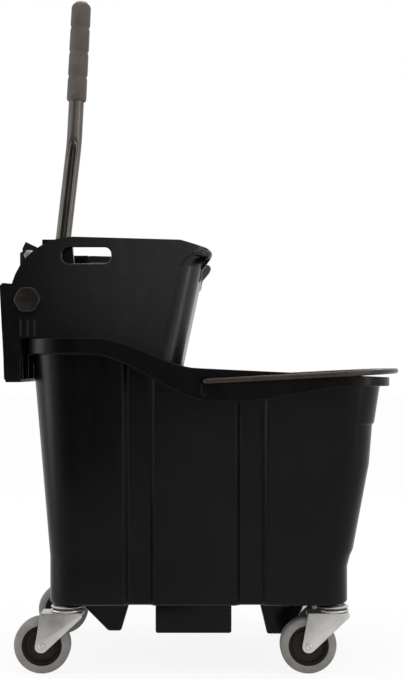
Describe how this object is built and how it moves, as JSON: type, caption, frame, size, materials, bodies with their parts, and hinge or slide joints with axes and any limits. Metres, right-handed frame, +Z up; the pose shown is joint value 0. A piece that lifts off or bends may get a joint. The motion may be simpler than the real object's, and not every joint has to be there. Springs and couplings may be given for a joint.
{
  "type": "mop bucket with side press wringer",
  "caption": "Plastic mop bucket on swivel casters with a wire bail and a hung side press wringer whose long lever turns a crank shaft and pushes a press plate.",
  "frame": {"origin": "on the floor, below the middle of the whole object's box", "axes": "+Z up, +X along the bucket from the wringer's end to the bail's end, +Y away from the side that the picture shows"},
  "size_m": [0.5423, 0.4138, 0.9882],
  "materials": {
    "black_plastic": "satin moulded black plastic with a fine grain",
    "bronze_wire": "dark bronze coated wire, satin",
    "bush_plastic": "pale grey bearing plastic",
    "zinc_steel": "bright zinc plated pressed steel",
    "shaft_steel": "plain steel bar",
    "dark_steel": "dark brown coated steel",
    "lever_steel": "grey brown coated steel tube, satin",
    "grip_rubber": "warm grey moulded rubber",
    "hub_plastic": "dark brown moulded hub",
    "tread": "grey non-marking rubber tread"
  },
  "bodies": {
    "bucket": {"bucket_shell": "black_plastic", "bail_ear_near": "black_plastic", "bail_ear_far": "black_plastic", "caster_stem_left_near": "zinc_steel", "caster_stem_left_far": "zinc_steel", "caster_stem_right_near": "zinc_steel", "caster_stem_right_far": "zinc_steel", "swivel_washer_left_near": "bush_plastic", "swivel_washer_left_far": "bush_plastic", "swivel_washer_right_near": "bush_plastic", "swivel_washer_right_far": "bush_plastic"},
    "wringer": {"wringer_housing": "black_plastic", "shaft_bush_near": "bush_plastic", "shaft_bush_far": "bush_plastic", "return_spring": "zinc_steel"},
    "lever": {"press_shaft": "shaft_steel", "cap_nut_near": "dark_steel", "cap_nut_far": "dark_steel", "crank_arm_near": "dark_steel", "crank_arm_far": "dark_steel", "crank_pin_near": "zinc_steel", "crank_pin_far": "zinc_steel", "lever_hub": "dark_steel", "lever_bolts": "zinc_steel", "lever_tube": "lever_steel", "lever_grip": "grip_rubber"},
    "press": {"press_plate": "black_plastic", "push_bracket_near": "dark_steel", "push_bracket_far": "dark_steel", "bracket_screws": "zinc_steel"},
    "bail": {"bail_wire": "bronze_wire"},
    "swivel_left_near": {"fork_left_near": "zinc_steel", "axle_bolt_left_near": "zinc_steel", "sleeve_left_near": "shaft_steel"},
    "wheel_left_near": {"hub_left_near": "hub_plastic", "tyre_left_near": "tread"},
    "swivel_left_far": {"fork_left_far": "zinc_steel", "axle_bolt_left_far": "zinc_steel", "sleeve_left_far": "shaft_steel"},
    "wheel_left_far": {"hub_left_far": "hub_plastic", "tyre_left_far": "tread"},
    "swivel_right_near": {"fork_right_near": "zinc_steel", "axle_bolt_right_near": "zinc_steel", "sleeve_right_near": "shaft_steel"},
    "wheel_right_near": {"hub_right_near": "hub_plastic", "tyre_right_near": "tread"},
    "swivel_right_far": {"fork_right_far": "zinc_steel", "axle_bolt_right_far": "zinc_steel", "sleeve_right_far": "shaft_steel"},
    "wheel_right_far": {"hub_right_far": "hub_plastic", "tyre_right_far": "tread"}
  },
  "joints": [
    {"name": "wringer_lift", "type": "slide", "parent": "bucket", "child": "wringer", "axis": [0, 0, 1], "range_m": [0, 0.16]},
    {"name": "lever_swing", "type": "hinge", "parent": "wringer", "child": "lever", "pos_m": [-0.2323, 0, 0.5016], "axis": [0, 1, 0], "range_deg": [0, 50], "stiffness_Nm_per_rad": 4, "springref_deg": -22.92, "deforming": ["return_spring"]},
    {"name": "press_slide", "type": "slide", "parent": "wringer", "child": "press", "axis": [1, 0, 0], "range_m": [0, 0.047]},
    {"name": "bail_swing", "type": "hinge", "parent": "bucket", "child": "bail", "pos_m": [0.004, 0, 0.3933], "axis": [0, -1, 0], "range_deg": [0, 80]},
    {"name": "swivel_left_near", "type": "hinge", "parent": "bucket", "child": "swivel_left_near", "pos_m": [-0.182, -0.138, 0.09], "axis": [0, 0, 1], "continuous": true},
    {"name": "wheel_spin_left_near", "type": "hinge", "parent": "swivel_left_near", "child": "wheel_left_near", "pos_m": [-0.215, -0.138, 0.038], "axis": [0, 1, 0], "continuous": true},
    {"name": "swivel_left_far", "type": "hinge", "parent": "bucket", "child": "swivel_left_far", "pos_m": [-0.182, 0.138, 0.09], "axis": [0, 0, 1], "continuous": true},
    {"name": "wheel_spin_left_far", "type": "hinge", "parent": "swivel_left_far", "child": "wheel_left_far", "pos_m": [-0.215, 0.138, 0.038], "axis": [0, 1, 0], "continuous": true},
    {"name": "swivel_right_near", "type": "hinge", "parent": "bucket", "child": "swivel_right_near", "pos_m": [0.176, -0.138, 0.09], "axis": [0, 0, 1], "continuous": true},
    {"name": "wheel_spin_right_near", "type": "hinge", "parent": "swivel_right_near", "child": "wheel_right_near", "pos_m": [0.143, -0.138, 0.038], "axis": [0, 1, 0], "continuous": true},
    {"name": "swivel_right_far", "type": "hinge", "parent": "bucket", "child": "swivel_right_far", "pos_m": [0.176, 0.138, 0.09], "axis": [0, 0, 1], "continuous": true},
    {"name": "wheel_spin_right_far", "type": "hinge", "parent": "swivel_right_far", "child": "wheel_right_far", "pos_m": [0.143, 0.138, 0.038], "axis": [0, 1, 0], "continuous": true}
  ],
  "couplings": [
    {"joint": "press_slide", "follows": "lever_swing", "m_per_rad": 0.05355}
  ]
}
